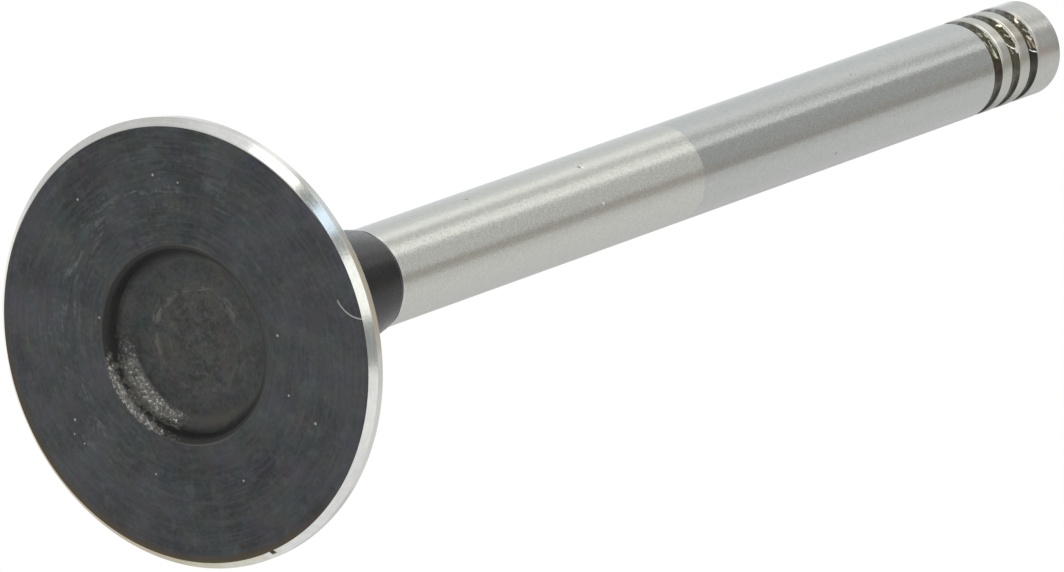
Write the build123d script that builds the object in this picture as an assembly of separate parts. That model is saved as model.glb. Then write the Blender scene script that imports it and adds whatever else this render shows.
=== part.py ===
from build123d import *
import os
from math import cos, radians, tan

os.makedirs("parts", exist_ok=True)

# A poppet valve for a piston engine, turned and ground from one piece of heat-resisting steel.
# It stands on its combustion face: z = 0 is that face, the origin is the face's centre, and +Z
# runs up the stem to the tip. Every surface is turned about +Z. Sizes are in millimetres, and
# angles are in degrees.

# Overall
overall_length = 119.5   # combustion face to tip end
head_dia = 35.0          # over the margin
stem_dia = 7.98          # ground stem, a running fit in an 8 mm guide

# Combustion face and its forged recess
recess_mouth_dia = 14.7   # where the line of the recess wall meets the face
recess_depth = 1.9
recess_wall_angle = 75.0  # from the face
recess_rim_round = 0.5    # convex, where the face turns into the recess
recess_fillet = 1.1       # concave, where the wall runs out into the floor

# Ground rim of the head
rim_chamfer = 0.57        # 45 degrees, between the face and the margin
margin_height = 0.6       # plain cylindrical band at the full head diameter
seat_width = 1.7          # radial width of the conical sealing face
seat_angle = 45.0         # from the plane of the face

# Tulip underhead and neck
underhead_angle = 20.0    # from the plane of the face, next to the seat
tulip_radius = 12.0       # blend from the underhead to the neck
neck_taper = 11.0         # half angle of the neck, from the axis
neck_height = 22.9        # face to the end of the neck
neck_step = 0.23          # how far the neck stands proud of the ground stem
runout_length = 0.5       # slope that the grinding wheel leaves from the neck to the stem

# Keeper grooves and tip
groove_count = 3
groove_pitch = 2.73
groove_radius = 0.74      # of the round bottom
groove_depth = 0.5
land_round = 0.12         # on each edge where a groove meets the stem
tip_length = 4.5          # tip end to the centre of the last groove
tip_chamfer = 0.5         # 45 degrees

pick_slack = 0.01         # how far from the stem's surface a picked corner may lie

# Sizes that follow from them
head_radius = head_dia / 2
stem_radius = stem_dia / 2
recess_mouth_radius = recess_mouth_dia / 2
recess_floor_radius = recess_mouth_radius - recess_depth / tan(radians(recess_wall_angle))
seat_low = rim_chamfer + margin_height
seat_inner_radius = head_radius - seat_width
seat_high = seat_low + seat_width * tan(radians(seat_angle))
neck_end_radius = stem_radius + neck_step
stem_low = neck_height + runout_length
groove_centre_radius = stem_radius - groove_depth + groove_radius
groove_heights = [overall_length - tip_length - i * groove_pitch for i in range(groove_count)]


def tulip_corner():
    """Radius and height where the line of the underhead meets the line of the neck."""
    rise = tan(radians(underhead_angle))
    flare = tan(radians(neck_taper))
    straight_height = neck_height - seat_high - seat_inner_radius * rise
    radius = (neck_end_radius + flare * straight_height) / (1 - flare * rise)
    return radius, seat_high + (seat_inner_radius - radius) * rise


def tulip_blend(radius, height):
    """The tulip radius, no larger than the two lines beside its corner have room for."""
    half_turn = radians(90 - underhead_angle - neck_taper) / 2
    underhead_line = (seat_inner_radius - radius) / cos(radians(underhead_angle))
    neck_line = (neck_height - height) / cos(radians(neck_taper))
    return min(tulip_radius, min(underhead_line, neck_line) / tan(half_turn))


def turned_outline():
    """Corners of the half section and the round on each, from the recess floor to the tip end."""
    tulip_r, tulip_z = tulip_corner()
    return [
        ((0, 0, recess_depth), 0),
        ((recess_floor_radius, 0, recess_depth), recess_fillet),
        ((recess_mouth_radius, 0, 0), recess_rim_round),
        ((head_radius - rim_chamfer, 0, 0), 0),
        ((head_radius, 0, rim_chamfer), 0),
        ((head_radius, 0, seat_low), 0),
        ((seat_inner_radius, 0, seat_high), 0),
        ((tulip_r, 0, tulip_z), tulip_blend(tulip_r, tulip_z)),
        ((neck_end_radius, 0, neck_height), 0),
        ((stem_radius, 0, stem_low), 0),
        ((stem_radius, 0, overall_length - tip_chamfer), 0),
        ((stem_radius - tip_chamfer, 0, overall_length), 0),
        ((0, 0, overall_length), 0),
    ]


def half_section():
    """The closed half section in the XZ plane, before the grooves are cut."""
    corners = turned_outline()
    outline = FilletPolyline(
        [point for point, _ in corners],
        radius=[size for _, size in corners[1:-1]],
    )
    axis_line = Line(outline @ 1, outline @ 0)
    return make_face([outline, axis_line])


def groove_profiles():
    """One round cutter for each keeper groove, in the XZ plane."""
    centres = [Plane.XZ * Pos(groove_centre_radius, height) for height in groove_heights]
    return [centre * Circle(groove_radius) for centre in centres]


def land_corners(section):
    """The section's corners where the grooves break through the stem's surface."""
    lowest = groove_heights[-1] - groove_radius
    highest = groove_heights[0] + groove_radius
    return [
        v for v in section.vertices()
        if abs(v.X - stem_radius) < pick_slack and lowest < v.Z < highest
    ]


def turned_valve():
    """The whole valve, revolved once from its grooved half section."""
    section = half_section()
    for cutter in groove_profiles():
        section -= cutter
    section = fillet(land_corners(section), land_round)
    return revolve(section, Axis.Z)


valve = turned_valve()
valve.label = "valve"
export_step(valve, "parts/valve.step")

print(f"valve: {valve.volume:.0f} mm3, {len(valve.solids())} solid, {len(valve.faces())} faces")
print(f"ground stem from z {stem_low:.2f} to {groove_heights[-1] - groove_radius:.2f}")
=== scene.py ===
# %% [markdown]
# # A poppet valve, dressed for a close view
#
# The valve is one bar of steel: a dark forged head, a bright ground rim, a ground stem and three
# grooves for the collets. Its solid comes from a CAD program, at its real size. This lesson gives
# it the skin that forging, turning and grinding leave, and sets it in a plain studio.
#
# The first step loads that solid as a frame. Everything is in metres, +Z runs up the stem, and the
# origin is the middle of the flat face that the valve stands on. The box of the solid is kept, and
# the last step writes it out.

# %% Load the frame
from functools import partial, reduce
from itertools import accumulate
from math import atan2, cos, hypot, pi, radians, sin, sqrt, tan
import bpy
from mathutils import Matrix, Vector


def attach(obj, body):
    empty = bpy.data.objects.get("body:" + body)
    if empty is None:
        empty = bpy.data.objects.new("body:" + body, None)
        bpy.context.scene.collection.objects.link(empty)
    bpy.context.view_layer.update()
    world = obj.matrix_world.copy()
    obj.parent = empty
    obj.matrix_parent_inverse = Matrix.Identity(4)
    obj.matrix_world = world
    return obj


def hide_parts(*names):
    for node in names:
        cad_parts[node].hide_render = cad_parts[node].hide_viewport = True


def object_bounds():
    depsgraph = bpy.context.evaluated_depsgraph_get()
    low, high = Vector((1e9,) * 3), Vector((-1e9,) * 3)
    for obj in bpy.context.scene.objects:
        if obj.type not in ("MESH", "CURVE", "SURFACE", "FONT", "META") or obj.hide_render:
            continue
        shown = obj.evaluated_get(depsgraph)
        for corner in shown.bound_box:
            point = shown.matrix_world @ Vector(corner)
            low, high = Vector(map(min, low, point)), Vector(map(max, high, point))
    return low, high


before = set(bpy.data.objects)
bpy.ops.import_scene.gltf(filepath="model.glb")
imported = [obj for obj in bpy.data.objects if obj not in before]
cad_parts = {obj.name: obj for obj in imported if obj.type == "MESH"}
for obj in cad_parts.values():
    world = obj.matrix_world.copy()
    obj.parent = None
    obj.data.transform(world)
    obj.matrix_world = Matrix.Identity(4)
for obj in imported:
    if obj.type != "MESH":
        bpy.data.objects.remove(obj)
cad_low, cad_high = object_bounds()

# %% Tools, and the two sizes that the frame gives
from types import SimpleNamespace

import bpy
from mathutils import Matrix, Vector, noise

MM = 0.001
HEAD_RADIUS = (cad_high.y - cad_low.y) / 2 / MM
LENGTH = cad_high.z / MM
print(f"head {2 * HEAD_RADIUS:.1f} mm across, valve {LENGTH:.1f} mm long")

# %% [markdown]
# ## The camera
#
# Product pictures of small parts are taken from far off with a long lens, which keeps the two ends
# of the part nearly the same scale. The camera looks up at the face from below, and is rolled
# until the stem runs to the upper right. A camera is easiest to adjust when it is kept as what it
# aims at, how far off it is, its two angles and its roll, so it is made from those.

# %% Camera
LENS_MM = 444.4
SENSOR_MM = 36
AIM = Vector((4.84, 7.51, 54.19)) * MM
CAMERA_DISTANCE = 1.042
CAMERA_AZIMUTH = 0.446
CAMERA_ELEVATION = -53.387
CAMERA_ROLL = 70.089


def direction(azimuth, elevation):
    """Unit vector that leaves the valve. Azimuth 0 is towards -Y and 90 towards +X, in degrees."""
    a, e = radians(azimuth), radians(elevation)
    return Vector((sin(a) * cos(e), -cos(a) * cos(e), sin(e)))


def add_object(name, data):
    """Puts a camera, a lamp or a mesh into the scene."""
    made = bpy.data.objects.new(name, data)
    bpy.context.scene.collection.objects.link(made)
    return made


def make_camera():
    """A camera on its direction from the aim point, rolled about its own line of sight."""
    away = direction(-CAMERA_AZIMUTH, CAMERA_ELEVATION)
    level_right = Vector((0, 0, 1)).cross(away).normalized()
    level_up = away.cross(level_right)
    roll = radians(CAMERA_ROLL)
    right = cos(roll) * level_right + sin(roll) * level_up
    up = cos(roll) * level_up - sin(roll) * level_right
    camera = add_object("camera", bpy.data.cameras.new("camera"))
    camera.data.lens = LENS_MM
    camera.data.sensor_width = SENSOR_MM
    facing = Matrix((right, up, away)).transposed().to_4x4()
    camera.matrix_world = Matrix.Translation(AIM + away * CAMERA_DISTANCE) @ facing
    bpy.context.scene.camera = camera
    return camera


camera = make_camera()
print("camera stands at", [round(x, 4) for x in camera.matrix_world.translation])

# %% [markdown]
# ## Small helpers for shader nodes
#
# A procedural material is a chain of nodes. Written out in full, each node takes four lines, and
# the idea gets lost. These helpers make a node and fill its sockets in one call, so that a material
# below reads like a recipe. A socket gets a link where its value is another node's output, and a
# plain number or colour otherwise. A new node goes into the tree of the outputs that feed it.

# %% Node helpers
WHITE_LEVEL = 255
SRGB_KNEE = 0.04045


def tone(red, green, blue):
    """A colour as a screen shows it, 0 to 255, in the linear light that shaders work in."""
    shown = [value / WHITE_LEVEL for value in (red, green, blue)]
    linear = [v / 12.92 if v <= SRGB_KNEE else ((v + 0.055) / 1.055) ** 2.4 for v in shown]
    return (*linear, 1)


def is_output(value):
    """Whether a value is another node's output."""
    return isinstance(value, bpy.types.NodeSocket)


def fill(made, sockets):
    """Links each named socket of a node to an output, or sets it to a plain value."""
    for socket, value in sockets.items():
        if is_output(value):
            made.id_data.links.new(value, made.inputs[socket])
        else:
            made.inputs[socket].default_value = value


def node(kind, sockets=None, tree=None, **settings):
    """Adds a shader node, sets its settings and fills its sockets."""
    sockets = sockets or {}
    tree = tree or next(value.id_data for value in sockets.values() if is_output(value))
    made = tree.nodes.new("ShaderNode" + kind)
    for name, value in settings.items():
        setattr(made, name, value)
    fill(made, sockets)
    return made


def empty_tree(owner):
    """The node tree of a material or a world, cleared."""
    owner.use_nodes = True
    owner.node_tree.nodes.clear()
    return owner.node_tree


# %% Sums, steps and noise
def calc(operation, *values):
    """The result of one Math node."""
    return node("Math", dict(enumerate(values)), operation=operation).outputs[0]


def times(*values):
    """The product of the values."""
    return reduce(partial(calc, "MULTIPLY"), values)


def plus(*values):
    """The sum of the values."""
    return reduce(partial(calc, "ADD"), values)


def minus(first, second):
    """The first value less the second."""
    return calc("SUBTRACT", first, second)


def most(*values):
    """The greatest of the values."""
    return reduce(partial(calc, "MAXIMUM"), values)


def vector(operation, *values, result=0):
    """The result of one Vector Math node. A length, a distance or a dot product is result 1."""
    return node("VectorMath", dict(enumerate(values)), operation=operation).outputs[result]


def scaled(arrow, factor):
    """A vector or a colour times one number."""
    return node("VectorMath", {0: arrow, "Scale": factor}, operation="SCALE").outputs[0]


def joined(x, y, z):
    """A vector from three values."""
    return node("CombineXYZ", {0: x, 1: y, 2: z}).outputs[0]


def fade(value, low, high, start=0, end=1):
    """A smooth step from start, at or below low, to end, at or above high."""
    ends = {"Value": value, "From Min": low, "From Max": high, "To Min": start, "To Max": end}
    return node("MapRange", ends, interpolation_type="SMOOTHSTEP").outputs[0]


def band(value, low, high, soft):
    """1 between low and high and 0 outside, with soft edges."""
    return times(fade(value, low - soft, low + soft), fade(value, high - soft, high + soft, 1, 0))


def grain(where, scale, detail=2, roughness=0.5):
    """Cloudy noise from about 0.2 to 0.8, at that many cells a unit of where."""
    sockets = {"Vector": where, "Scale": scale, "Detail": detail, "Roughness": roughness}
    return node("TexNoise", sockets).outputs[0]


def three_grains(where, scale, detail):
    """Three such noises at once, as red, green and blue."""
    return node("TexNoise", {"Vector": where, "Scale": scale, "Detail": detail}).outputs[1]


# %% Mixing colours
def blend(amount, first, second):
    """The first colour where amount is 0 and the second where it is 1."""
    return node("Mix", {0: amount, 6: first, 7: second}, data_type="RGBA").outputs[2]


def paint(colour, *layers):
    """The colour with layers of paint over it. A layer is how much of it shows, and its tone."""
    for amount, shade in layers:
        colour = blend(amount, colour, tone(*shade))
    return colour


def mottled(colour, where, scale, strength):
    """The colour with clouds that shift its red, green and blue, each by its own noise."""
    clouds = three_grains(where, scale, 3)
    share = vector("MULTIPLY_ADD", clouds, (strength,) * 3, (1 - strength / 2,) * 3)
    return vector("MULTIPLY", colour, share)


# %% [markdown]
# ## The studio
#
# The valve stands on a pale floor under a white room. The floor fades out into white with distance,
# so there is no horizon. The camera of this picture is below the floor, so the floor's underside is
# clear. The world is white for what the camera and the metal see, and dimmer as a source of light,
# so that a colour comes out about as it is written.

# %% Floor
FLOOR_RADIUS = 2
FLOOR_SIDES = 96
FLOOR_DROP = 0.0002
FLOOR_CLEAR_FROM, FLOOR_CLEAR_TO = 0.25, 1.1
FLOOR_TONE = tone(238, 238, 238)


def hide_from(thing, *rays):
    """Makes a thing invisible to the named kinds of ray."""
    for ray in rays:
        setattr(thing, "visible_" + ray, False)


def make_floor():
    """A round pale floor that fades out with distance and is clear from below."""
    bpy.ops.mesh.primitive_circle_add(
        vertices=FLOOR_SIDES, radius=FLOOR_RADIUS, fill_type="NGON", location=(0, 0, -FLOOR_DROP)
    )
    floor = bpy.context.object
    floor.name = "floor"
    material = bpy.data.materials.new("pale_floor")
    tree = empty_tree(material)
    far = vector("LENGTH", node("TexCoord", tree=tree).outputs["Object"], result=1)
    gone = fade(far, FLOOR_CLEAR_FROM, FLOOR_CLEAR_TO)
    clear = most(gone, node("NewGeometry", tree=tree).outputs["Backfacing"])
    matt = node("BsdfDiffuse", {"Color": FLOOR_TONE}, tree).outputs[0]
    glass = node("BsdfTransparent", tree=tree).outputs[0]
    mixed = node("MixShader", {0: clear, 1: matt, 2: glass}).outputs[0]
    node("OutputMaterial", {"Surface": mixed})
    floor.data.materials.append(material)
    hide_from(floor, "diffuse", "glossy", "transmission", "shadow")


make_floor()

# %% World
ROOM_LIGHT = 0.62
SEEN_BY = ("Is Camera Ray", "Is Glossy Ray", "Is Transmission Ray")


def make_world():
    """White to the eye and in reflections, and dimmer as a lamp."""
    world = bpy.data.worlds.new("white_room")
    bpy.context.scene.world = world
    ray = node("LightPath", tree=empty_tree(world)).outputs
    seen = most(*(ray[kind] for kind in SEEN_BY))
    strength = fade(seen, 0, 1, ROOM_LIGHT, 1)
    light = node("Background", {"Color": (1, 1, 1, 1), "Strength": strength}).outputs[0]
    node("OutputWorld", {"Surface": light})


make_world()

# %% [markdown]
# ## Lamps and cards
#
# Polished metal has almost no colour of its own: it shows what stands round it. A photographer
# shapes it with lamps and with grey cards, each of which draws one streak down the stem or one
# patch on the rim. The soft lamps here light the dark parts and cast the shadow on the floor, and
# metal doesn't see them. The cards are seen by metal alone. Each is a patch of a big sphere round
# the valve, so its place is two angles and so is its size.

# %% Soft lamps
LAMP_SIZE = 0.6
LAMPS = {  # name: azimuth, elevation, distance, watts
    "key_lamp": (-60, 50, 1, 3.6),
    "fill_lamp": (70, -35, 1.2, 1.6),
}


def make_lamp(name, azimuth, elevation, distance, watts):
    """A soft square lamp that faces the middle of the valve."""
    lamp = add_object(name, bpy.data.lights.new(name, "AREA"))
    lamp.data.size = LAMP_SIZE
    lamp.data.energy = watts
    out = direction(azimuth, elevation)
    facing = out.to_track_quat("Z", "Y").to_matrix().to_4x4()
    lamp.matrix_world = Matrix.Translation(AIM + out * distance) @ facing
    hide_from(lamp, "camera", "glossy")


for name, place in LAMPS.items():
    make_lamp(name, *place)

# %% Cards for the metal to show
CARD_DISTANCE = 3
CARD_STEP = 0.02  # each card stands this much in front of the one before it
CARD_CELL = 4  # degrees between the points of a card's mesh

CARDS = {  # name: azimuth from and to, elevation from and to, light in red, green and blue
    # Streaks down the stem. The stem and the margin reflect what stands at an elevation of 53.
    "sky_far": ((-182, -130), (38, 85), (1.46, 1.48, 1.50)),
    "sky_near": ((-130, -82), (20, 85), (1.09, 1.12, 1.13)),
    "sky_high": ((-175, -95), (60.5, 82), (1.60, 1.62, 1.64)),
    "strip_far": ((-80.5, -63.5), (15, 85), (1.98, 1.98, 1.92)),
    "flag_gap": ((-63.5, -47.5), (15, 85), (0.62, 0.62, 0.60)),
    "strip_near": ((-46.5, -28.5), (15, 85), (2.06, 2.05, 2.01)),
    "veil_far": ((-90, -71), (47, 60), (1.12, 1.13, 1.12)),
    "veil_turn": ((-71, -63.5), (47, 60), (1.00, 1.00, 0.99)),
    "veil_gap": ((-63.5, -50), (47, 60), (0.78, 0.78, 0.77)),
    "veil_near": ((-50, -28.5), (47, 60), (0.97, 0.98, 0.97)),
    "veil_sky": ((-162, -130), (47, 60), (1.10, 1.13, 1.15)),
    "flag_wide": ((-29, 15), (47.5, 59.5), (0.46, 0.46, 0.45)),
    "flag_high": ((-38, 26), (66, 84), (0.50, 0.50, 0.50)),
    "lift_low": ((-28, 15), (33, 46), (1.20, 1.20, 1.20)),
    "flag_thin": ((15, 36), (8, 85), (0.52, 0.48, 0.45)),
    "veil_thin": ((15, 36), (47.5, 59.5), (0.59, 0.56, 0.52)),
    "flag_edge": ((36, 54), (8, 85), (0.91, 0.91, 0.89)),
    "veil_right": ((146, 182), (45, 62), (0.80, 0.80, 0.79)),
    # Patches on the bevel of the rim
    "lamp_left": ((-73.5, -50), (-48, -12), (2.30, 2.28, 2.20)),
    "gap_left": ((-50, -38), (-48, -12), (0.38, 0.40, 0.38)),
    "window": ((-38, -25), (-48, -12), (1.23, 1.45, 1.66)),
    "gap_mid": ((-25, -13.4), (-48, -12), (0.42, 0.43, 0.42)),
    "lamp_mid": ((-13.4, 15.5), (-48, -12), (1.48, 1.49, 1.42)),
    "gap_right": ((15.5, 37), (-48, -12), (0.38, 0.40, 0.38)),
    "lamp_right": ((38, 70), (-48, -6), (1.09, 1.09, 1.07)),
    "wall_left": ((-157, -90), (-16, 24), (0.79, 0.79, 0.78)),
    "wall_side": ((124, 140), (-6, 16), (0.90, 0.88, 0.80)),
    "wall_turn": ((140, 149), (0, 24), (0.80, 0.74, 0.62)),
    "wall_back": ((149, 178), (0, 44), (0.71, 0.64, 0.51)),
    "wall_end": ((178, 182), (20, 44), (0.92, 0.90, 0.80)),
    "wall_far": ((182, 198), (20, 38), (1.16, 1.12, 1.02)),
}


def evenly(ends, count):
    """Evenly spaced values from one end to the other, both included."""
    return [ends[0] + (ends[1] - ends[0]) * i / count for i in range(count + 1)]


def make_card(name, azimuths, elevations, light, distance):
    """A glowing patch of a sphere round the valve, seen only in reflections."""
    across, upward = (max(1, round((b - a) / CARD_CELL)) for a, b in (azimuths, elevations))
    points = [
        AIM + direction(turn, height) * distance
        for height in evenly(elevations, upward) for turn in evenly(azimuths, across)
    ]
    wide = across + 1
    corners = [row * wide + column for row in range(upward) for column in range(across)]
    mesh = bpy.data.meshes.new(name)
    mesh.from_pydata(points, [], [(c, c + 1, c + wide + 1, c + wide) for c in corners])
    material = bpy.data.materials.new(name)
    glow = node("Emission", {"Color": (*light, 1), "Strength": 1}, empty_tree(material))
    node("OutputMaterial", {"Surface": glow.outputs[0]})
    mesh.materials.append(material)
    card = add_object(name, mesh)
    hide_from(card, "camera", "diffuse", "transmission", "volume_scatter", "shadow")


for place, (name, card) in enumerate(CARDS.items()):
    make_card(name, *card, CARD_DISTANCE - CARD_STEP * place)
print(f"{len(LAMPS)} lamps and {len(CARDS)} cards")

# %% [markdown]
# ## The turned outline
#
# A valve is turned: one outline, swept round the axis, is the whole part. The same could be had by
# keeping the CAD mesh, but its facets are too coarse to carry forged skin and burrs, so the
# outline is drawn again here at the same sizes and swept with fine rings. Every edge that is
# crisp on the real valve still has a tiny round, because light catches on it.
#
# A corner is a radius, a height, the size of its round, the finish of the span that leaves it, and
# how far apart the rings on that span are. All are in millimetres.

# %% Sizes of the outline
STEM_RADIUS = 3.99
RECESS_MOUTH, RECESS_DEPTH, RECESS_WALL = 7.35, 1.9, radians(75)
RECESS_RIM_ROUND, RECESS_FILLET = 0.5, 1.1
RIM_CHAMFER, MARGIN, SEAT_WIDTH = 0.57, 0.6, 1.7
UNDERHEAD_ANGLE, NECK_TAPER, TULIP_ROUND = radians(20), radians(11), 12
NECK_TOP, NECK_STEP, RUNOUT = 22.9, 0.23, 0.5
WHEEL_EDGE = 0.4  # where the oxide ends, measured from the foot of the slope
WELD_HEIGHT = 65.6
GROOVE_PITCH = 2.73
GROOVE_HEIGHTS = [109.54 + GROOVE_PITCH * i for i in range(3)]
GROOVE_ROUND, GROOVE_DEPTH, LAND_ROUND = 0.74, 0.5, 0.12
HEAD_SIDE = 0.91  # a groove is this much narrower on the side of the head
TIP_CHAMFER = 0.5
CRISP = 0.04  # the round that grinding leaves on a crisp edge

recess_floor = RECESS_MOUTH - RECESS_DEPTH / tan(RECESS_WALL)
recess_edge = RECESS_MOUTH + RECESS_RIM_ROUND * tan(RECESS_WALL / 2)
face_edge = HEAD_RADIUS - RIM_CHAMFER
seat_low = RIM_CHAMFER + MARGIN
seat_inner = HEAD_RADIUS - SEAT_WIDTH
seat_high = seat_low + SEAT_WIDTH
neck_radius = STEM_RADIUS + NECK_STEP
stem_low = NECK_TOP + RUNOUT


def tulip_corner():
    """Where the line of the underhead meets the line of the neck."""
    rise, flare = tan(UNDERHEAD_ANGLE), tan(NECK_TAPER)
    straight = NECK_TOP - seat_high - seat_inner * rise
    radius = (neck_radius + flare * straight) / (1 - flare * rise)
    return radius, seat_high + (seat_inner - radius) * rise


print(f"recess floor {recess_floor:.2f} mm, tulip corner {tulip_corner()}")

# %% Helpers that walk along an outline
GUARD = 0.05   # a ring this close to each end of a span keeps its shading flat
SHORT_SPAN = 0.3
ROUND_STEP = radians(12)


def round_at(before, corner, after, size):
    """Points of the round at a corner, from the line that comes in to the line that goes out."""
    into, out = (corner - before).normalized(), (after - corner).normalized()
    turn = into.angle(out)
    reach = size * tan(turn / 2)
    centre = corner + (out - into).normalized() * (size / cos(turn / 2))
    start = corner - into * reach - centre
    sense = 1 if into.cross(out) > 0 else -1
    count = max(3, round(turn / ROUND_STEP))
    return [
        centre + Vector((start.x * cos(t) - start.y * sin(t), start.x * sin(t) + start.y * cos(t)))
        for t in evenly((0, sense * turn), count)
    ]


def span_points(start, end, step):
    """Points inside a straight span, with a guard near each end."""
    length = (end - start).length
    count = max(1, round(length / step))
    shares = [i / count for i in range(1, count)]
    if length > SHORT_SPAN:
        guard = GUARD / length
        shares = [guard] + [s for s in shares if guard * 2 < s < 1 - guard * 2] + [1 - guard]
    return [start.lerp(end, share) for share in shares]


def walk(corners):
    """The outline as (point, finish of the band that leaves it), through every round."""
    places = [Vector(corner[:2]) for corner in corners]
    turned = [
        round_at(*places[i - 1:i + 2], corner[2]) if corner[2] else [places[i]]
        for i, corner in enumerate(corners)
    ]
    path = []
    for i, points in enumerate(turned):
        finish, step = corners[i][3:]
        path += [(point, finish) for point in points]
        if i + 1 < len(turned):
            path += [(p, finish) for p in span_points(points[-1], turned[i + 1][0], step)]
    return path


# %% The outline of one keeper groove
GROOVE_STEP = radians(9)


def swing(centre, size, start, end, step):
    """Points of an arc between two angles, both ends included."""
    angles = evenly((start, end), max(2, round(abs(end - start) / step)))
    return [centre + size * Vector((cos(t), sin(t))) for t in angles]


def groove_points(height):
    """From the stem down a rounded edge, round the bottom, and up the other rounded edge."""
    middle = Vector((STEM_RADIUS - GROOVE_DEPTH + GROOVE_ROUND, height))
    edge_radius = STEM_RADIUS - LAND_ROUND
    rise = sqrt((GROOVE_ROUND + LAND_ROUND) ** 2 - (middle.x - edge_radius) ** 2)
    lean = atan2(rise, middle.x - edge_radius)
    low, high = Vector((edge_radius, height - rise)), Vector((edge_radius, height + rise))
    first_edge = swing(low, LAND_ROUND, 0, lean, 2 * GROOVE_STEP)
    bottom = swing(middle, GROOVE_ROUND, pi + lean, pi - lean, GROOVE_STEP)
    last_edge = swing(high, LAND_ROUND, -lean, 0, 2 * GROOVE_STEP)
    path = [(point, "tip") for point in first_edge[:-1]]
    path += [(point, "groove") for point in bottom[:-1]]
    path += [(point, "tip") for point in last_edge]
    for point, _ in path:
        point.y = max(point.y, height + (point.y - height) * HEAD_SIDE)
    return path


# %% The whole outline
LAND_STEP, STEM_STEP = 0.5, 8
tulip_radius, tulip_height = tulip_corner()
stem_top = groove_points(GROOVE_HEIGHTS[0])[0][0].y

head_path = walk([
    (0, RECESS_DEPTH, 0, "recess", 0.35),
    (recess_floor, RECESS_DEPTH, RECESS_FILLET, "recess", 0.12),
    (RECESS_MOUTH, 0, RECESS_RIM_ROUND, "recess", 0.12),
    (recess_edge + CRISP, 0, 0, "face", 0.6),
    (face_edge, 0, 2 * CRISP, "face", 0.16),
    (face_edge + CRISP, CRISP, 0, "rim", 0.16),
    (HEAD_RADIUS, RIM_CHAMFER, CRISP, "rim", 0.2),
    (HEAD_RADIUS, seat_low, CRISP, "rim", 0.4),
    (seat_inner, seat_high, 2 * CRISP, "underhead", 0.7),
    (tulip_radius, tulip_height, TULIP_ROUND, "underhead", 0.7),
    (neck_radius, NECK_TOP, CRISP, "runout", 0.12),
    (STEM_RADIUS, stem_low, CRISP, "runout", 0.12),
    (STEM_RADIUS, stem_low + WHEEL_EDGE, 0, "stem", STEM_STEP),
    (STEM_RADIUS, stem_top, 0, "tip", LAND_STEP),
])[:-1]

groove_path = []
for height in GROOVE_HEIGHTS:
    points = groove_points(height)
    if groove_path:
        gap = span_points(groove_path[-1][0], points[0][0], LAND_STEP)
        groove_path += [(point, "tip") for point in gap]
    groove_path += points

tip_path = walk([
    (*groove_path.pop()[0], 0, "tip", LAND_STEP),
    (STEM_RADIUS, LENGTH - TIP_CHAMFER, CRISP, "tip", 0.25),
    (STEM_RADIUS - TIP_CHAMFER, LENGTH, CRISP, "tip", 0.6),
    (0, LENGTH, 0, "tip", 1),
])
outline = head_path + groove_path + tip_path
print(f"{len(outline)} rings in the outline")

# %% [markdown]
# ## Forged skin and burrs
#
# The recess is left as the forging die pressed it: its skin is pebbled, its floor isn't quite flat
# and has a faint ring from the die. The keeper grooves were turned with a form tool that
# chattered, and small burrs stand on their flanks on one side. These are real bumps of a few
# hundredths of a millimetre, so they are made by moving the rings' points along their normals,
# with noise that gives the same bumps each time. The finer grain stays in the materials.

# %% Relief, in millimetres outward
SKIN_FROM, SKIN_WITHIN, LEAST_SKIN = 5.8, 0.8, 0.12  # the radius where the pebbled skin takes over
DIE_RING_RADIUS, DIE_RING_WIDTH, DIE_RING_HEIGHT = 4.2, 0.3, 0.03
BURRS_AROUND, BURRS_WITHIN = -17, 34  # degrees
NICK_AZIMUTH, NICK_HALF_WIDTH, NICK_DEPTH = 86, 1.2, 0.1
NICK_SHARE = 0.8  # of the bevel's height
SKIN_EDGE, GROOVE_LIP, GROOVE_EDGE = 0.15, 0.07, 0.12  # how softly relief ends at smooth metal
SKIN_WAVE, FINE_SKIN_WAVE = (0.3, 0.022), (0.16, 0.012)  # cell and height
FLOOR_WAVE, FINE_FLOOR_WAVE, RING_WAVE = (2.4, 0.03), (0.9, 0.012), (2, 1)
CHATTER_WAVE, BURR_WAVE = (1, 0.008), (1, 0.05)


def wave(x, y, z, cell, height):
    """Smooth noise with that cell size and height. Where only x and y vary, z picks a pattern."""
    return height * noise.noise(Vector((x, y, z)) / cell)


def recess_relief(x, y, z):
    """Pebbled skin on the wall and rounds, and a slightly uneven floor with a die ring."""
    radius = hypot(x, y)
    skin_share = min(1, max(LEAST_SKIN, (radius - SKIN_FROM) / SKIN_WITHIN))
    skin = wave(x, y, z, *SKIN_WAVE) + wave(y, z, x, *FINE_SKIN_WAVE)
    skin *= min(1, (recess_edge - radius) / SKIN_EDGE)
    floor_wave = wave(x, y, 7, *FLOOR_WAVE) + wave(x, y, 3, *FINE_FLOOR_WAVE)
    ring = DIE_RING_HEIGHT * max(0, 1 - abs(radius - DIE_RING_RADIUS) / DIE_RING_WIDTH)
    ring *= 0.5 + wave(x, y, 11, *RING_WAVE)
    return skin_share * skin + (1 - skin_share) * (floor_wave - ring)


def groove_relief(x, y, z):
    """Chatter all round, and burrs on the side that faces -Y."""
    azimuth = atan2(x, -y) / radians(1)
    burr_share = max(0, 1 - ((azimuth - BURRS_AROUND) / BURRS_WITHIN) ** 2)
    chatter = wave(azimuth / 3, z, 0, *CHATTER_WAVE)
    burr = wave(azimuth / 7, z * 2.2, 5, *BURR_WAVE)
    depth_share = min(1, max(0, STEM_RADIUS - GROOVE_LIP - hypot(x, y)) / GROOVE_EDGE)
    return depth_share * (chatter + burr_share * burr)


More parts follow.
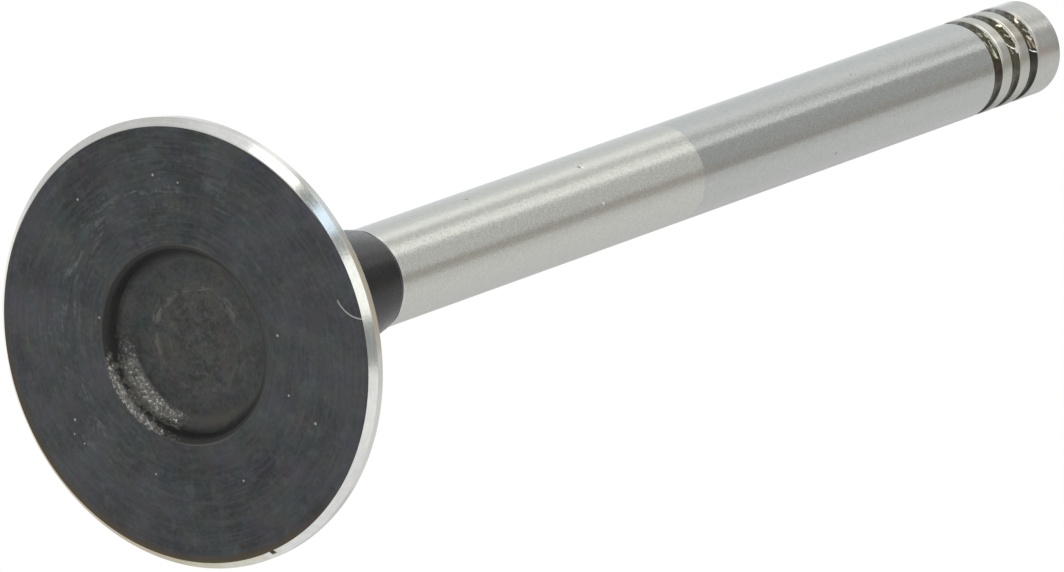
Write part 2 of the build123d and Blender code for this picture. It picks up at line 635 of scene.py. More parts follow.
def rim_relief(x, y, z):
    """A small dent in the bevel, where the head was knocked."""
    away = abs(atan2(x, -y) / radians(1) - NICK_AZIMUTH)
    inside = z < RIM_CHAMFER * NICK_SHARE
    return -NICK_DEPTH * max(0, 1 - away / NICK_HALF_WIDTH) if inside else 0


RELIEF = {"recess": recess_relief, "groove": groove_relief, "rim": rim_relief}

# %% [markdown]
# ## Sweeping the outline
#
# Each point of the outline becomes a ring of points, and each pair of rings a band of faces. The
# two ends close in a point, so the mesh is watertight. Azimuth is counted from -Y, which puts the
# seam of the map at the back. The map that textures can be baked through is laid out in the same
# loop: flat parts as discs, and the stem and the grooves as strips, all at about the same scale.

# %% Layout of the map
ISLAND_OF = {  # finish: island of the map
    "recess": "face_disc",
    "face": "face_disc",
    "rim": "rim_strip",
    "underhead": "under_disc",
    "runout": "stem_strip",
    "stem": "stem_strip",
    "groove": "tip_strip",
    "tip": "tip_strip",
}
FINISHES = list(ISLAND_OF)
DISCS = {  # island: centre, scale a millimetre, and whether the outline runs inward there
    "face_disc": (0.50, 0.245, 0.0128, False),
    "under_disc": (0.50, 0.745, 0.0080, True),
}
STRIPS = {  # island: left, bottom, width round the valve, scale a millimetre
    "stem_strip": (0.01, 0.01, 0.225, 0.0112),
    "tip_strip": (0.77, 0.01, 0.22, 0.0215),
    "rim_strip": (0.77, 0.55, 0.22, 0.06),
}
UNDER_DISC_CORE = 4


def lay_out(island, along, share, ends):
    """The place on the map of a point so far along the outline and that share round the valve."""
    first, last = ends
    if island in DISCS:
        across, up, scale, inward = DISCS[island]
        reach = scale * (UNDER_DISC_CORE + last - along if inward else along - first)
        turn = 2 * pi * share
        return across + reach * cos(turn), up + reach * sin(turn)
    left, bottom, width, scale = STRIPS[island]
    return left + width * share, bottom + scale * (along - first)


# %% The swept mesh
SEGMENTS = 320


def ring_points(index):
    """The points of one ring, moved along the outline's normal by its finish's relief."""
    point, finish = outline[index]
    before, after = outline[max(0, index - 1)][0], outline[min(len(outline) - 1, index + 1)][0]
    along = (after - before).normalized()
    relief = RELIEF.get(finish)
    ring = []
    for step in range(SEGMENTS):
        turn = 2 * pi * step / SEGMENTS - pi
        x, y = point.x * sin(turn), -point.x * cos(turn)
        push = relief(x, y, point.y) if relief else 0
        radius, height = point.x + along.y * push, max(0, point.y - along.x * push)
        ring.append(Vector((radius * sin(turn), -radius * cos(turn), height)) * MM)
    return ring


def sweep():
    """Rings, bands and the two closed ends, with each face's finish and map."""
    final = len(outline) - 1
    bottom, top = (Vector((0, 0, outline[end][0].y * MM)) for end in (0, final))
    points = [bottom, *(point for i in range(1, final) for point in ring_points(i)), top]
    gaps = ((b[0] - a[0]).length for a, b in zip(outline, outline[1:]))
    steps = list(accumulate(gaps, initial=0))
    spread = {}
    for index, (_, finish) in enumerate(outline[:-1]):
        island = ISLAND_OF[finish]
        first, last = spread.get(island, (steps[index], steps[index]))
        spread[island] = (min(first, steps[index]), max(last, steps[index + 1]))

    faces, finishes, places = [], [], []
    for index in range(final):
        finish = outline[index][1]
        island = ISLAND_OF[finish]
        for step in range(SEGMENTS):
            following = (step + 1) % SEGMENTS
            corners = [(index, step, step), (index, following, step + 1),
                       (index + 1, following, step + 1), (index + 1, step, step)]
            if index == 0:
                corners = [corners[0], corners[2], corners[3]]
            elif index == final - 1:
                corners = corners[:3]
            face = []
            for ring, spoke, turn in corners:
                if ring in (0, final):
                    face.append(0 if ring == 0 else len(points) - 1)
                else:
                    face.append(1 + (ring - 1) * SEGMENTS + spoke)
                places.append(lay_out(island, steps[ring], turn / SEGMENTS, spread[island]))
            faces.append(face)
            finishes.append(FINISHES.index(finish))
    return points, faces, finishes, places


def make_valve():
    """The dressed valve as one closed mesh."""
    points, faces, finishes, places = sweep()
    mesh = bpy.data.meshes.new("valve_body")
    mesh.from_pydata(points, [], faces)
    mesh.polygons.foreach_set("material_index", finishes)
    mesh.polygons.foreach_set("use_smooth", [True] * len(faces))
    layer = mesh.uv_layers.new(name="OFBake")
    layer.uv.foreach_set("vector", [value for place in places for value in place])
    mesh.validate()
    return add_object("valve_body", mesh)


valve_body = make_valve()
print(f"{len(valve_body.data.polygons)} faces, {2 * len(valve_body.data.polygons)} triangles")

# %% [markdown]
# ## Coordinates that suit a turned part
#
# Marks on a turned part follow its turning: arcs on the face, rings on the stem. So the materials
# need the radius and the azimuth as well as x, y and z. A noise that is read at the radius and at
# the direction round the axis draws arcs with no seam, because the direction closes on itself.
#
# Each material below is a recipe: a function that takes these coordinates, lays tones over one
# another, and gives back what goes into the sockets of the shader.

# %% Part coordinates, and a material from a recipe
def part_places(tree):
    """Object coordinates in millimetres, and the same round the axis. Azimuth is in degrees."""
    spot = scaled(node("TexCoord", tree=tree).outputs["Object"], 1 / MM)
    x, y, z = node("SeparateXYZ", {0: spot}).outputs[:3]
    flat = joined(x, y, 0)
    ux, uy = node("SeparateXYZ", {0: vector("NORMALIZE", flat)}).outputs[:2]
    return SimpleNamespace(
        tree=tree, spot=spot, flat=flat, x=x, y=y, z=z, ux=ux, uy=uy,
        radius=vector("LENGTH", flat, result=1),
        azimuth=times(calc("ARCTAN2", x, times(y, -1)), 1 / radians(1)),
    )


def arcs(part, along, fine, coarse, detail=3, roughness=0.5):
    """Noise in long marks round the axis, with so many cells along the outline and round it."""
    where = joined(times(along, fine), times(part.ux, coarse), times(part.uy, coarse))
    return grain(where, 1, detail, roughness)


def bump(height, depth):
    """Normals that follow a height, as if it stood that many millimetres deep."""
    return node("Bump", {"Height": height, "Distance": depth * MM, "Strength": 1}).outputs[0]


def make_material(recipe):
    """A material named after its recipe, whose Principled shader the recipe fills."""
    material = bpy.data.materials.new(recipe.__name__)
    tree = empty_tree(material)
    skin = node("BsdfPrincipled", recipe(part_places(tree)), tree)
    node("OutputMaterial", {"Surface": skin.outputs[0]})
    return material


# %% [markdown]
# ## The dark face
#
# The face was turned, then hardened and left with a thin blue-black oxide. It has no metal shine,
# so it is a dark non-metal with a soft gloss, and a painted sheen lightens it towards +Y and -Y.
# Its turning shows as faint arcs, mostly on one side, and handling has left a few bright specks
# and one curved scratch that runs off the edge.
# Specks and the scratch are placed one by one, because they are the marks a person would recognise
# the part by. Near the edge, on one side, a painted warm reflection turns the oxide brown.

# %% Marks on the face
FACE_FINE = (2.6, 4, 0.7)
FACE_CLOUDS = [  # noise, level from and to, strength at each, and tone
    ((0.3, 6, 0.68), 0.38, 0.62, 0, 1, (46, 48, 49)),
    ((0.17, 3), 0.46, 0.66, 0, 0.5, (52, 50, 53)),
    ((0.2, 1), 0.42, 0.6, 0, 0.5, (68, 71, 74)),
    ((0.45, 2), 0.32, 0.47, 0.5, 0, (27, 33, 35)),
    (FACE_FINE, 0.38, 0.75, 0, 0.45, (76, 79, 81)),
    ((0.8, 4, 0.65), 0.5, 0.68, 0, 0.42, (82, 86, 88)),
]
GLINT_TOWARDS = (0.39, 0.921)  # the side of the recess where glints are painted on the pebbles
SPECKS = [  # x, y and size in millimetres, brightest first
    (8.9, -9.3, 0.16), (1.7, -8.7, 0.15), (6.25, -7.8, 0.13), (11.2, -1, 0.13),
    (2.6, 12.4, 0.15), (-12.9, -2.6, 0.15), (-13.1, 5, 0.14), (-11.7, -4.6, 0.11),
    (4.55, 12.3, 0.10), (3.6, 12.9, 0.10), (-4.1, 6.85, 0.12), (-2.1, -7.15, 0.12),
    (8.55, 6.75, 0.11),
]
SCRATCH_CENTRE, SCRATCH_RADIUS = (0.38, -17.55), 2.4
SCRATCH_WIDTH = 0.055
SCRATCH_FROM, SCRATCH_TO = 18, 82  # degrees round its own centre


def clouded(colour, part, layers):
    """The colour under clouds of other tones, laid on one after another."""
    for cells, low, high, start, end, shade in layers:
        colour = paint(colour, (fade(grain(part.spot, *cells), low, high, start, end), shade))
    return colour


def near(part, x, y, reach):
    """1 at a point of the face, falling to 0 within reach."""
    return fade(vector("DISTANCE", part.flat, (x, y, 0), result=1), 0.3 * reach, reach, 1, 0)


def scratch(part):
    """1 along a thin arc, and 0 beside it and beyond its ends."""
    away = vector("SUBTRACT", part.flat, (*SCRATCH_CENTRE, 0))
    off = calc("ABSOLUTE", minus(vector("LENGTH", away, result=1), SCRATCH_RADIUS))
    line = fade(off, 0.4 * SCRATCH_WIDTH, 1.6 * SCRATCH_WIDTH, 1, 0)
    x, y = node("SeparateXYZ", {0: away}).outputs[:2]
    turn = times(calc("ARCTAN2", y, x), 1 / radians(1))
    return times(line, band(turn, SCRATCH_FROM, SCRATCH_TO, 3))


def towards_glint_side(part):
    """The cosine of the angle between a point and the side of the recess where glints are painted.
    """
    return plus(times(part.ux, GLINT_TOWARDS[0]), times(part.uy, GLINT_TOWARDS[1]))


# %% Face material
def turned_oxide(part):
    """Clouded blue-black oxide with the arcs of its turning, brighter where they are worn, and a
    painted sheen towards +Y and -Y.
    """
    colour = clouded(tone(22, 28, 30), part, FACE_CLOUDS)
    turned = fade(arcs(part, part.radius, 3.4, 3, 4, 0.68), 0.4, 0.68, 0, 0.38)
    colour = paint(colour, (turned, (80, 84, 86)))
    for cells, strength in ((0.45, 0.6), (1.5, 0.35)):
        colour = mottled(colour, part.spot, cells, strength)
    # Painted sheen: the face is painted lighter towards +Y and -Y.
    painted_sheen = fade(times(part.uy, part.uy), 0, 1, 0, 0.12)
    marks = arcs(part, part.radius, 2.6, 4.5, 2.5, 0.65)
    marks = plus(marks, fade(grain(part.spot, 2.4), 0.3, 0.7, -0.08, 0.05))
    patch = fade(grain(part.spot, 0.3, 3), 0.4, 0.6)
    side = fade(minus(part.y, part.x), -10, 10, 0.15, 1)
    ring = most(band(part.radius, 10, 13, 1.2), 0.35)
    wear_and_glints = times(patch, side, fade(marks, 0.5, 0.7), ring, 0.8)
    return paint(colour, (painted_sheen, (110, 112, 116)), (wear_and_glints, (106, 111, 113)))


def face_oxide(part):
    """Blue-black oxide over turned steel, with a painted warm reflection near the edge on one side.
    """
    chips = times(
        fade(grain(part.spot, 3.6, 3, 0.7), 0.45, 0.6),
        fade(part.radius, recess_edge + 0.08, recess_edge + 0.22, 1, 0),
        fade(towards_glint_side(part), 0.925, 0.965),
    )
    line = band(part.radius, recess_edge + 0.02, recess_edge + 0.1, 0.04)
    places = most(band(part.azimuth, 80, 118, 8), band(part.azimuth, -66, -48, 8))
    # Painted reflection: the edge of the face is painted brown on its +X +Y side.
    warm_reflection = times(fade(part.radius, 16.2, 16.95), fade(plus(part.x, part.y), 4, 16))
    specks = most(0, *(near(part, *speck) for speck in SPECKS))
    # Bright bare metal along the edge of the face, from azimuth -130 to -22.
    bright_share = fade(part.radius, face_edge - 0.08, face_edge - 0.03)
    bright_share = times(bright_share, band(part.azimuth, -130, -22, 8))
    fine = grain(part.spot, *FACE_FINE)
    return {
        "Base Color": paint(
            turned_oxide(part),
            (chips, (172, 170, 162)),
            (times(line, places, 0.8), (98, 98, 90)),
            (warm_reflection, (80, 68, 46)),
            (most(specks, scratch(part)), (175, 175, 171)),
            (bright_share, (190, 190, 186)),
        ),
        "Metallic": bright_share,
        "Specular IOR Level": 0.3,
        "Roughness": fade(fine, 0.3, 0.7, 0.36, 0.46),
        "Normal": bump(plus(arcs(part, part.radius, 14, 20), fine), 0.003),
    }


# %% [markdown]
# ## The forged recess
#
# The recess keeps its forging scale, which is duller and more olive than the turned face. On one
# side the tops of its small pebbles are painted bright as glints of light, and made bare steel. A
# Voronoi texture makes such pebbles: its distance output gives their tops, and its colour gives
# each one a random lean, so that some catch the light and some don't.

# %% Pebbles and scale
PEBBLE_CELLS, PEBBLE_LEAN = 4.6, 0.3  # a millimetre, and how far a pebble may lean
HALVES = (0.5, 0.5, 0.5)
RECESS_CLOUDS = [  # noise, level from and to, strength at each, and tone
    ((0.55, 4, 0.65), 0.42, 0.58, 0, 1, (59, 61, 58)),
    ((2.8, 4, 0.72), 0.38, 0.72, 0, 0.62, (82, 83, 79)),
    ((1.6, 4, 0.7), 0.3, 0.44, 0.7, 0, (30, 32, 31)),
]


def pebbles(part):
    """The skin's small pebbles: bright at their tops and dark between, and each one's lean."""
    shaken = vector("MULTIPLY_ADD", three_grains(part.spot, 4, 3), HALVES, part.spot)
    cells = node("TexVoronoi", {"Vector": shaken, "Scale": PEBBLE_CELLS}).outputs
    bright_share = node("SeparateXYZ", {0: cells["Color"]}).outputs[0]
    top = times(fade(cells["Distance"], 0.15, 0.8, 1, 0), fade(bright_share, 0.1, 0.8, 0.2, 1))
    return top, vector("SUBTRACT", cells["Color"], HALVES)


def forging_scale(part):
    """Olive scale, rusty in the middle, with the faint rings of the die."""
    colour = clouded(tone(30, 33, 31), part, RECESS_CLOUDS)
    colour = paint(colour, (fade(part.radius, 2.5, 5, 0, 0.3), (60, 64, 66)))
    rust = fade(grain(part.spot, 0.4, 3), 0.5, 0.66, 0, 0.6)
    rust = times(rust, fade(part.radius, 1.5, 5, 1, 0.2))
    ring = times(band(part.radius, 3.7, 4.4, 0.3), fade(part.x, -3, 3, 1, 0.4))
    inner_ring = times(band(part.radius, 2.4, 2.9, 0.3), 0.4)
    marks = fade(arcs(part, part.radius, 3, 3.6, 3, 0.65), 0.46, 0.62)
    scuff = fade(grain(part.spot, 3.2, 3, 0.7), 0.5, 0.66)
    scuff = times(scuff, fade(part.radius, 0.3, 2.6, 0.5, 0.1))
    bright = most(times(marks, most(ring, inner_ring)), scuff)
    colour = mottled(colour, part.spot, 0.8, 0.65)
    return paint(colour, (rust, (58, 53, 46)), (bright, (98, 97, 91)))


# %% Recess material
def with_painted_shade(part, colour):
    """The colour, browner at one side of the floor, with painted shade on the fillet, the wall and
    the lip.
    """
    brown = times(band(part.radius, 5.9, 6.5, 0.2), band(part.azimuth, 74, 128, 14), 0.6)
    shaded_sides = most(band(part.azimuth, -122, -52, 12), band(part.azimuth, 56, 84, 8))
    # Painted shade on the fillet, at two stretches round it.
    fillet = times(shaded_sides, 0.75, fade(part.radius, 6.25, 6.6))
    colour = paint(colour, (brown, (82, 78, 67)), (fillet, (33, 33, 32)))
    # Painted shade on the wall, a little lighter on the +Y side.
    wall = paint(tone(33, 33, 32), (fade(part.uy, 0.62, 0.8), (43, 43, 41)))
    colour = blend(band(part.z, 0.1, RECESS_DEPTH - 0.85, 0.1), colour, wall)
    # Painted shade on the lip: near black, less dark from azimuth -32 to 36, and olive towards its
    # outer edge.
    lip = paint(
        tone(11, 11, 10),
        (band(part.azimuth, -32, 36, 14), (38, 38, 36)),
        (fade(part.radius, RECESS_MOUTH + 0.24, recess_edge + 0.04), (62, 60, 51)),
    )
    return blend(fade(part.radius, RECESS_MOUTH - 0.1, RECESS_MOUTH), colour, lip)


def glint_places(part, towards):
    """1 where glints are painted: on the fillet, the lip and a little of the wall between them, on
    one side.
    """
    fillet = times(
        fade(part.radius, 5.95, 6.4), fade(part.z, 0.65, 1), fade(towards, 0.76, 0.95)
    )
    lip = times(fade(part.z, 0.1, 0.7, 1, 0), fade(towards, 0.8, 0.95))
    lip = times(lip, fade(part.radius, 7.1, 7.55, 0.35, 1))
    wall = times(fade(part.z, 0.7, 1.2, 0.8, 0), fade(towards, 0.96, 0.995))
    return most(fillet, most(lip, wall))


def recess_scale(part):
    """Olive forging scale with painted shade on the wall, and pebbles painted bright as glints on
    one side, where they are bare metal.
    """
    ragged = fade(grain(part.spot, 1.4, 3, 0.7), 0.2, 0.8, -0.12, 0.12)
    towards = plus(towards_glint_side(part), ragged)
    # Painted glints: on one side the scale is painted lighter and the pebble tops are bright bare
    # metal.
    wear_and_glints = glint_places(part, towards)
    top, lean = pebbles(part)
    bare_and_glints = times(wear_and_glints, top, fade(grain(part.spot, 5, 3, 0.7), 0.38, 0.56, 0.3, 1))
    normal = node("NewGeometry", tree=part.tree).outputs["Normal"]
    normal = vector("ADD", normal, scaled(lean, times(wear_and_glints, PEBBLE_LEAN)))
    return {
        "Base Color": paint(
            with_painted_shade(part, forging_scale(part)),
            (times(wear_and_glints, fade(towards, 0.8, 0.95, 0.1, 0.6)), (76, 75, 70)),
            (times(wear_and_glints, fade(towards, 0.86, 1, 0, 0.7)), (112, 110, 104)),
            (bare_and_glints, (180, 178, 172)),
        ),
        "Metallic": bare_and_glints,
        "Specular IOR Level": 0.4,
        "Roughness": fade(bare_and_glints, 0, 1, 0.5, 0.3),
        "Normal": vector("NORMALIZE", normal),
    }


# %% [markdown]
# ## Ground steel
#
# The rim, the seat and the stem are ground bright. A grinding wheel leaves fine marks that run
# round the part, so light spreads along the axis and stays narrow round it: the shader's
# anisotropy with a radial tangent does this. The stem is two steels welded end to end. The lower
# one is a little warmer and was ground coarser, so a short dark card is smeared away there and
# shows as a clear band on the upper one.

# %% Ground steel, and the rim
QUARTER_TURN = 0.25
STEEP_LIGHT = 0.8  # how much of a steep reflection the stem keeps, against a perfect mirror
MARGIN_REFLECTIONS = [  # painted reflections on the margin, in bands: azimuth from and to, softness and tone
    (-120, -72, 3, (236, 235, 231)), (-58, -50, 3, (190, 189, 185)),
    (-45, -30, 3, (218, 217, 213)), (-30, -20, 3, (208, 207, 203)),
    (12, 18, 3, (214, 213, 209)), (56, 74, 3, (172, 171, 167)), (74, 120, 3, (160, 159, 155)),
    (-9, 13, 5, (214, 204, 186)), (-26, -14, 3, (192, 197, 197)),
]


def turning(part):
    """Marks of the grinding wheel: fine lines that run round the part."""
    return arcs(part, plus(part.z, times(part.radius, 0.5)), 7, 10, 3, 0.6)


def steel(part, roughness, anisotropy, steep=STEEP_LIGHT):
    """Sockets of a metal whose light spreads along the axis."""
    tangent = node("Tangent", tree=part.tree, direction_type="RADIAL", axis="Z")
    return {
        "Metallic": 1,
        "Roughness": roughness,
        "Specular Tint": (steep, steep, steep, 1),
        "Anisotropic": anisotropy,
        "Anisotropic Rotation": QUARTER_TURN,
        "Tangent": tangent.outputs[0],
    }


def two_tone(part, dark, light):
    """Colour that wanders between two tones with the turning and in small clouds."""
    mixed = plus(turning(part), grain(part.spot, 1.6, 4, 0.7))
    return paint(tone(*dark), (fade(mixed, 0.7, 1.3), light))


def rim_ground(part):
    """Finely ground bevel and seat, a duller margin with painted reflections in bands round it, and
    a black nick.
    """
    margin = band(part.z, RIM_CHAMFER, seat_low, 0.03)
    painted_bands = [
        (times(margin, band(part.azimuth, *place)), shade) for *place, shade in MARGIN_REFLECTIONS
    ]
    away = calc("ABSOLUTE", minus(part.azimuth, NICK_AZIMUTH))
    nick = times(
        fade(away, 0.5, 1, 1, 0), fade(part.radius, 17.15, 17.3, 1, 0),
        fade(part.z, RIM_CHAMFER, seat_low, 1, 0),
    )
    colour = two_tone(part, (204, 205, 202), (217, 218, 215))
    marks = turning(part)
    return {
        **steel(part, 0.16, 0.3, 0.96),
        "Base Color": paint(colour, (margin, (199, 198, 194)), *painted_bands, (nick, (60, 58, 52))),
        "Roughness": fade(marks, 0.3, 0.7, 0.14, 0.18),
        "Normal": bump(plus(marks, grain(part.spot, 3, 3, 0.6)), 0.003),
    }


# %% Stem material
WELD_BLUR = 0.25
RIPPLE_CELLS, RIPPLE_DEPTH = 5, 0.008  # a millimetre, and millimetres deep
PIT_CELLS = 5.5
ARC_DEGREE = STEM_RADIUS * radians(1)  # how long a degree is on the stem
DARK_MARK, BRIGHT_MARK = (140, 138, 135), (232, 232, 228)
STEM_SPOTS = [  # height, azimuth, size and tone
    (51.3, -44, 0.24, DARK_MARK), (36.8, -56, 0.16, DARK_MARK), (85.4, 50, 0.2, DARK_MARK),
    (90.4, -40, 0.15, DARK_MARK), (73, -50, 0.12, DARK_MARK), (51.3, 8, 0.2, BRIGHT_MARK),
    (51.6, -42, 0.1, BRIGHT_MARK),
]


def spot_on_stem(part, height, azimuth, size):
    """1 at a point of the stem, falling to 0 within size millimetres."""
    up, across = minus(part.z, height), times(minus(part.azimuth, azimuth), ARC_DEGREE)
    away = calc("SQRT", plus(times(up, up), times(across, across)))
    return fade(away, 0.4 * size, size, 1, 0)


def stem_ground(part):
    """Warm coarse steel below the weld and cool fine steel above, with a painted reflection, grain
    painted stronger where highlights fall, and a few handling marks.
    """
    wander = fade(arcs(part, part.z, 0.8, 4, 3, 0.6), 0.2, 0.8, -0.12, 0.12)
    above = fade(plus(part.z, wander), WELD_HEIGHT - WELD_BLUR, WELD_HEIGHT + WELD_BLUR)
    warm = two_tone(part, (187, 188, 182), (192, 193, 187))
    # Painted reflection: a brighter band on the lower steel, from azimuth -124 to -65.
    warm = paint(warm, (times(band(part.azimuth, -124, -65, 11), 0.8), (203, 205, 205)))
    colour = blend(above, warm, two_tone(part, (173, 175, 173), (178, 180, 178)))
    # Pits in the grain all round, and from azimuth -34 to 22 a stronger painted sparkle that breaks
    # up the highlights.
    pits = fade(grain(part.spot, PIT_CELLS, 2, 0.6), 0.3, 0.7, -1, 1)
    strength = fade(band(part.azimuth, -34, 22, 8), 0, 1, 0.04, 0.07)
    colour = scaled(colour, plus(times(pits, strength), 1))
    spots = [(spot_on_stem(part, *place), shade) for *place, shade in STEM_SPOTS]
    relief = plus(times(turning(part), 0.1), grain(part.spot, RIPPLE_CELLS, 1))
    return {
        **steel(part, 0.25, 0.5),
        "Base Color": paint(colour, *spots),
        "Roughness": fade(above, 0, 1, 0.27, 0.20),
        "Anisotropic": fade(above, 0, 1, 0.85, 0.5),
        "Normal": bump(relief, RIPPLE_DEPTH),
    }


# %% Run-out material
OXIDE_RISE = 0.0012  # millimetres a degree away from azimuth 0
RUNOUT_SIDES = [  # where the oxide reaches higher: azimuth from and to, softness, millimetres
    (-140, -54, 12, 0.20), (-16, 8, 6, 0.03), (54, 140, 12, 0.24),
]


def runout_ground(part):
    """The slope where the wheel stopped: oxide down the slope, then the first of the stem."""
    side = times(calc("ABSOLUTE", part.azimuth), OXIDE_RISE)
    for *place, rise in RUNOUT_SIDES:
        side = plus(side, times(band(part.azimuth, *place), rise))
    bare_and_glints = fade(minus(part.z, side), stem_low - 0.04, stem_low + 0.06)
    bright = two_tone(part, (192, 193, 190), (199, 200, 197))
    return {
        **steel(part, 0.27, 0.85),
        "Base Color": blend(bare_and_glints, tone(16, 16, 17), bright),
        "Metallic": bare_and_glints,
        "Specular IOR Level": 0.15,
    }


# %% [markdown]
# ## Oxide on the neck, scale in the grooves
#
# The underhead and neck have the same oxide as the face but weren't turned afterwards, so they are
# plain and a little glossier. The grooves hold brown and olive scale from heat treatment, with
# painted reflections that change round the part. On one side the form tool left burrs, and bright
# strokes are painted there as glints on bare metal. A stroke runs between two places. Its edge is
# made ragged by shaking the place at which it is read.

# %% Neck material
def neck_oxide(part):
    """Smooth blue-black oxide."""
    cloud = fade(grain(part.spot, 0.3, 3), 0.35, 0.65)
    fine = arcs(part, part.z, 3, 14)
    return {
        "Base Color": paint(tone(15, 15, 15), (cloud, (25, 25, 26))),
        "Specular IOR Level": 0.10,
        "Roughness": fade(fine, 0.3, 0.7, 0.22, 0.30),
        "Normal": bump(fine, 0.006),
    }


# %% Scale and painted reflections of the grooves
TINTS_AT = (-150, -105, -90, -70, -50, -22, 4, 12, 34, 62, 120)  # azimuths
GROOVE_TINTS = [  # brown and olive scale with painted reflections: a row a groove, with a tone at each of those azimuths
    [(92, 92, 86), (120, 121, 118), (156, 158, 158), (130, 132, 130), (88, 87, 76), (94, 91, 76),
     (62, 58, 44), (71, 61, 51), (96, 92, 86), (112, 114, 112), (92, 92, 86)],
    [(92, 91, 82), (126, 127, 122), (192, 194, 193), (154, 156, 154), (78, 76, 64), (86, 82, 62),
     (78, 74, 56), (80, 78, 66), (100, 98, 90), (116, 118, 112), (92, 91, 82)],
    [(90, 88, 82), (124, 125, 121), (192, 194, 195), (162, 164, 164), (86, 84, 78), (82, 78, 68),
     (76, 69, 58), (52, 50, 46), (80, 78, 72), (104, 106, 104), (90, 88, 82)],
]


def tint_by_azimuth(part, tints):
    """A colour that changes with azimuth through the given tones."""
    share = node("MapRange", {"Value": part.azimuth, "From Min": -180, "From Max": 180})
    ramp = node("ValToRGB", {0: share.outputs[0]})
    stops = ramp.color_ramp.elements
    while len(stops) < len(tints):
        stops.new(0.5)
    for stop, azimuth, shade in zip(stops, TINTS_AT, tints):
        stop.position = (azimuth + 180) / 360
        stop.color = tone(*shade)
    return ramp.outputs[0]


# %% Painted glints in the grooves
GROOVE_GLINTS = [  # painted glints, a list a groove: azimuth and height above its middle, twice, then width and tone
    [(-40, 0.36, -33, 0.44, 0.10, (150, 142, 132)), (-24, 0.20, -15, 0.26, 0.07, (158, 156, 142)),
     (-6, 0.44, 2, 0.50, 0.09, (170, 170, 150)), (-34, 0.62, -12, 0.66, 0.05, (160, 158, 142)),
     (-22, 0.52, -4, 0.42, 0.035, (166, 164, 144)), (-12, 0.30, -2, 0.34, 0.03, (150, 150, 128))],
    [(-40, 0.54, -33, 0.72, 0.09, (214, 208, 186)), (-34, 0.70, 2, 0.72, 0.07, (216, 212, 188)),
     (-12, 0.04, 0, 0.62, 0.045, (228, 228, 220)), (-24, 0.46, -17, 0.60, 0.05, (190, 184, 156)),
     (-3, 0.30, 4, 0.38, 0.08, (146, 138, 122)), (-2, 0.60, 4, 0.66, 0.09, (206, 196, 204))],
    [(-34, 0.47, -43, 0.74, 0.09, (198, 188, 176)), (-11, 0.44, -6, 0.56, 0.08, (190, 178, 164)),
     (-15, 0.66, -8, 0.72, 0.09, (186, 176, 162)), (-22, 0.50, -17, 0.56, 0.07, (168, 150, 132)),
     (-5, 0.28, 5, 0.36, 0.08, (142, 134, 118)), (-4, 0.52, 5, 0.60, 0.08, (146, 136, 120)),
     (-36, 0.70, -14, 0.73, 0.05, (196, 190, 176)), (6, 0.20, 12.5, 0.70, 0.045, (226, 228, 224)),
     (12.5, 0.68, -4, 0.74, 0.05, (212, 212, 204))],
]
STRETCH = 1.6  # a groove's flank is seen foreshortened, so a stroke is narrower along the stem
RAGGED_CELLS, RAGGED_BY = 3.5, (0.28, 0.28, 0)  # a millimetre, and millimetres


def stroke(part, height, start_turn, start_up, end_turn, end_up, width):
    """1 along a short ragged line on a groove, and 0 beyond its width."""
    first = Vector((start_turn * ARC_DEGREE, (height + start_up) * STRETCH, 0))
    along = Vector((end_turn * ARC_DEGREE, (height + end_up) * STRETCH, 0)) - first
    here = joined(times(part.azimuth, ARC_DEGREE), times(part.z, STRETCH), 0)
    shake = vector("SUBTRACT", three_grains(part.spot, RAGGED_CELLS, 2), HALVES)
    gone = vector("SUBTRACT", vector("MULTIPLY_ADD", shake, RAGGED_BY, here), first)
    share = times(vector("DOT_PRODUCT", gone, along, result=1), 1 / along.length_squared)
    share.node.use_clamp = True
    away = vector("DISTANCE", gone, scaled(along, share), result=1)
    return fade(away, 0.6 * width, 1.5 * width, 1, 0)


# %% Groove material
def groove_scale(part):
    """Scale in brown and olive with painted reflections, painted shade on one flank, and bright
    painted glints on the side that faces -Y.
    """
    colour = tint_by_azimuth(part, GROOVE_TINTS[0])
    for lower, tints in enumerate(GROOVE_TINTS[1:]):
        middle = (GROOVE_HEIGHTS[lower] + GROOVE_HEIGHTS[lower + 1]) / 2
        colour = blend(calc("GREATER_THAN", part.z, middle), colour, tint_by_azimuth(part, tints))
    patch = fade(arcs(part, part.z, 1.2, 3, 4, 0.7), 0.42, 0.62, 0, 0.6)
    speck = fade(grain(part.spot, 3.4, 3, 0.7), 0.52, 0.68, 0, 0.45)
    speck = times(speck, band(part.azimuth, -60, 8, 14))
    half = GROOVE_PITCH / 2
    across = calc("MODULO", minus(part.z, GROOVE_HEIGHTS[0] - half), GROOVE_PITCH)
    # Painted shade: the upper flank of each groove is darker from azimuth 39 to 130.
    shaded_flank = times(fade(across, half + 0.4, half + 0.56), band(part.azimuth, 39, 130, 9), 0.85)
    # Painted glints: bright strokes on the flanks, laid on bare metal.
    strokes = [
        (stroke(part, height, *place), shade)
        for height, burrs in zip(GROOVE_HEIGHTS, GROOVE_GLINTS) for *place, shade in burrs
    ]
    bare_and_glints = most(0, *(mask for mask, _ in strokes))
    return {
        "Base Color": paint(
            colour, (patch, (44, 42, 34)), (speck, (136, 134, 118)), (shaded_flank, (52, 51, 46)), *strokes
        ),
        "Metallic": 1,
        "Roughness": fade(bare_and_glints, 0, 1, 0.36, 0.2),
        "Normal": bump(arcs(part, part.z, 2.4, 9, 3, 0.65), 0.03),
    }


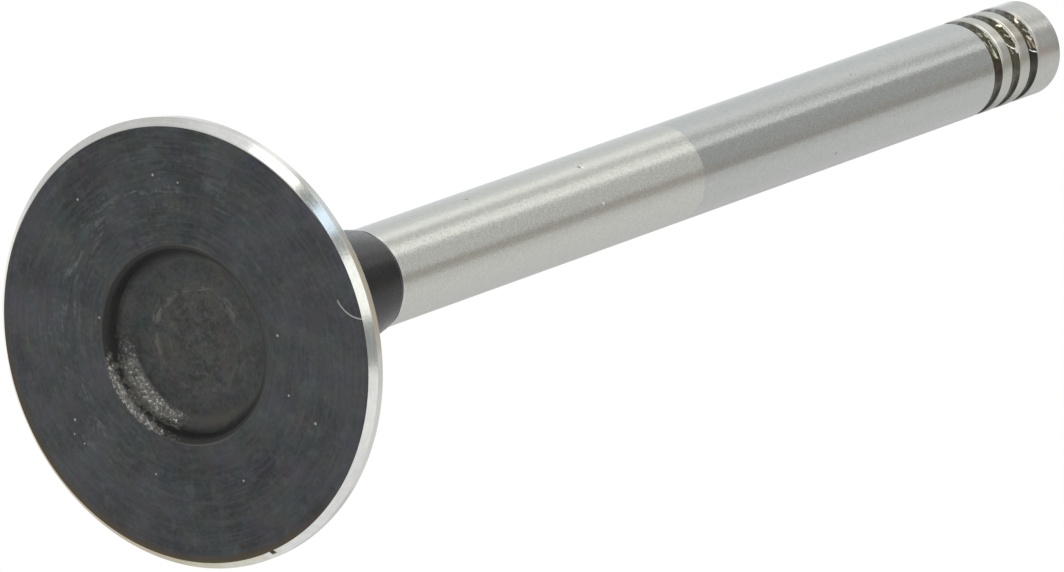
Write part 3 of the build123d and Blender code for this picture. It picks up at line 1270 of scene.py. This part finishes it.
# %% Tip material
LAND_REFLECTIONS = [  # painted reflections on the lands: height from and to, softness, azimuth from and to, softness, and tone
    (110.4, 111.6, 0.05, -40, -6, 6, (186, 186, 178)),
    (113, 114.3, 0.05, -38, -6, 6, (162, 157, 145)),
]
TIP_STRAW_AND_REFLECTION = [  # the same, for a touch of straw and a painted paler reflection on one side
    (115.9, 117.9, 0.3, 11, 19, 3, (186, 181, 173)),
    (116.1, LENGTH - TIP_CHAMFER, 0.3, -106, -73, 10, (230, 234, 235)),
]
EDGE_SHINE = (1, 0.95, 0.45)  # strength of the painted highlight on the upper edge of each groove


def patches(part, table):
    """Layers of paint from a table of places and tones."""
    return [
        (times(band(part.z, *place[:3]), band(part.azimuth, *place[3:])), shade)
        for *place, shade in table
    ]


def tip_ground(part):
    """Ground lands and tip, with a touch of straw beside the last groove, painted shade and
    reflections on the lands, painted highlights on the groove edges and a painted paler reflection
    on one side.
    """
    lands = fade(part.z, GROOVE_HEIGHTS[2], GROOVE_HEIGHTS[2] + 1.2, 1, 0)
    shaded = times(lands, band(part.azimuth, 60, 120, 12))
    # Painted highlights along the upper edge of each groove, from azimuth -48 to 2.
    edges = [
        times(band(part.z, height + 0.82, height + 0.98, 0.06), shine)
        for height, shine in zip(GROOVE_HEIGHTS, EDGE_SHINE)
    ]
    painted_edge_highlight = times(most(0, *edges), band(part.azimuth, -48, 2, 8))
    pink = fade(grain(part.spot, 1.1, 3), 0.5, 0.7, 0, 0.35)
    relief = plus(turning(part), grain(part.spot, PIT_CELLS, 4, 0.7))
    return {
        **steel(part, 0.24, 0.4),
        # Painted shade and reflections on the lands, and a paler painted reflection on one side of
        # the tip.
        "Base Color": paint(
            two_tone(part, (174, 174, 170), (184, 184, 179)),
            (lands, (178, 179, 171)),
            (shaded, (142, 142, 136)),
            *patches(part, LAND_REFLECTIONS),
            (painted_edge_highlight, (242, 240, 230)),
            (pink, (190, 180, 180)),
            *patches(part, TIP_STRAW_AND_REFLECTION),
        ),
        "Anisotropic": fade(part.z, LENGTH - 0.04, LENGTH - 0.01, 0.4, 0),
        "Normal": bump(relief, 0.007),
    }


# %% Put the materials on the mesh
RECIPES = {
    "recess": recess_scale,
    "face": face_oxide,
    "rim": rim_ground,
    "underhead": neck_oxide,
    "runout": runout_ground,
    "stem": stem_ground,
    "groove": groove_scale,
    "tip": tip_ground,
}
for finish in FINISHES:
    valve_body.data.materials.append(make_material(RECIPES[finish]))
print([material.name for material in valve_body.data.materials])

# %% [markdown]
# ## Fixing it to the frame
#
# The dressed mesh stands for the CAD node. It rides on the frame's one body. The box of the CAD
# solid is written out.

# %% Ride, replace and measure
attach(valve_body, "root")
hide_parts("valve")

scene = bpy.context.scene
scene.view_settings.view_transform = "Standard"

print("CAD box    ", [round(x / MM, 3) for x in (*cad_low, *cad_high)])
